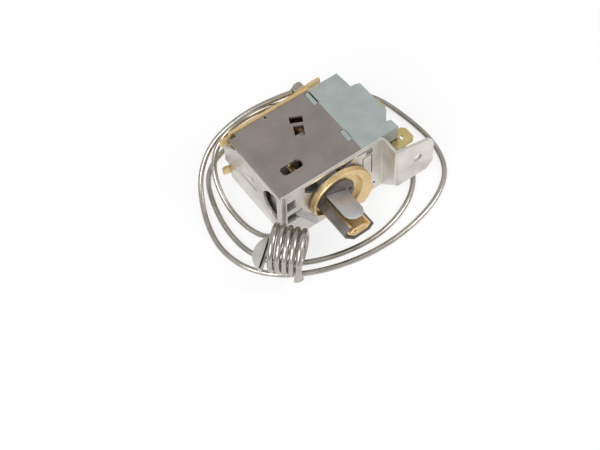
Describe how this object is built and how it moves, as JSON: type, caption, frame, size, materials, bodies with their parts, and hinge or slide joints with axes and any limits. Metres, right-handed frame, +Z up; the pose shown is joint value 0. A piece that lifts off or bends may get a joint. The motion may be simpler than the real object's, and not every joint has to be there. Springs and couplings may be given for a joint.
{
  "type": "capillary thermostat",
  "caption": "Capillary cold-control thermostat: folded steel body, snail cam with split spindle, switch housing with spade blades, coiled sensor tube.",
  "frame": {"origin": "on the ground under the middle of the body's box, which leaves out the capillary, the sensing coil and its clip", "axes": "+X along the body towards the spade blades, -Y towards the spindle's free end, +Z up"},
  "size_m": [0.0809, 0.065, 0.0258],
  "materials": {
    "zinc_steel": "bright zinc plating, slightly warm, with soft rolling marks",
    "cover_steel": "dull grey-brown plated steel",
    "chromate": "yellow chromated steel, satin",
    "bright_steel": "bright steel with fine scratches",
    "sensor_metal": "drawn nickel-plated tube, semi-bright",
    "housing_plastic": "grey-blue moulded thermoset, fine grain",
    "pin_plastic": "cream insulating plastic",
    "brass": "bare brass strip",
    "bronze": "phosphor bronze",
    "silver_contact": "silver contact face"
  },
  "bodies": {
    "base": {"frame": "zinc_steel", "end_plate": "zinc_steel", "bottom_web": "zinc_steel", "cover": "cover_steel", "back_plate": "chromate", "inlet_dish": "chromate", "nozzle": "bright_steel", "bellows": "bronze", "follower_post": "bright_steel", "lever_post": "bright_steel", "spindle_bush": "zinc_steel", "switch_housing": "housing_plastic", "switch_base": "housing_plastic", "terminal_line": "brass", "terminal_load": "brass", "fixed_contact": "silver_contact", "screw_bracket": "zinc_steel", "capillary_tube": "sensor_metal", "sensing_coil": "sensor_metal", "coil_clip": "zinc_steel"},
    "spindle": {"spindle": "bright_steel", "cam": "chromate", "cam_tongue": "chromate"},
    "follower": {"follower_lever": "bright_steel"},
    "lever": {"main_lever": "zinc_steel", "push_pin": "pin_plastic", "main_spring": "bright_steel"},
    "range_screw": {"range_screw": "brass"},
    "spring_nut": {"spring_nut": "brass"},
    "contact": {"contact_arm": "bronze", "moving_contact": "silver_contact"},
    "differential_screw": {"differential_screw": "brass"}
  },
  "joints": [
    {"name": "spindle_turn", "type": "hinge", "parent": "base", "child": "spindle", "pos_m": [-0.00645, -0.0093, 0.0118], "axis": [0, -1, 0], "range_deg": [0, 190]},
    {"name": "follower_turn", "type": "hinge", "parent": "base", "child": "follower", "pos_m": [-0.02065, -0.0005, 0.0115], "axis": [0, 0, 1], "range_deg": [-17.3, 0], "deforming": ["main_spring"]},
    {"name": "lever_rock", "type": "hinge", "parent": "base", "child": "lever", "pos_m": [-0.01075, 0.0125, 0.013], "axis": [0, 0, 1], "range_deg": [-1.5, 0.5], "stiffness_Nm_per_rad": 0.5, "deforming": ["bellows"]},
    {"name": "contact_flex", "type": "hinge", "parent": "base", "child": "contact", "pos_m": [0.01085, 0.0061, 0.0061], "axis": [1, 0, 0], "range_deg": [-2.1, 6.2]},
    {"name": "range_screw_turn", "type": "hinge", "parent": "lever", "child": "range_screw", "pos_m": [-0.01565, 0.0097, 0.0115], "axis": [0, 1, 0], "range_deg": [-360, 360]},
    {"name": "nut_slide", "type": "slide", "parent": "lever", "child": "spring_nut", "axis": [0, 1, 0], "range_m": [-0.0005, 0.0005]},
    {"name": "differential_turn", "type": "hinge", "parent": "base", "child": "differential_screw", "pos_m": [-0.01405, 0.0017, 0.0196], "axis": [0, 1, 0], "range_deg": [-360, 360]}
  ],
  "couplings": [
    {"joint": "follower_turn", "follows": "spindle_turn", "ratio": -0.090526},
    {"joint": "contact_flex", "follows": "lever_rock", "ratio": -4.07},
    {"joint": "range_screw_turn", "follows": "nut_slide", "rad_per_m": 12566}
  ]
}
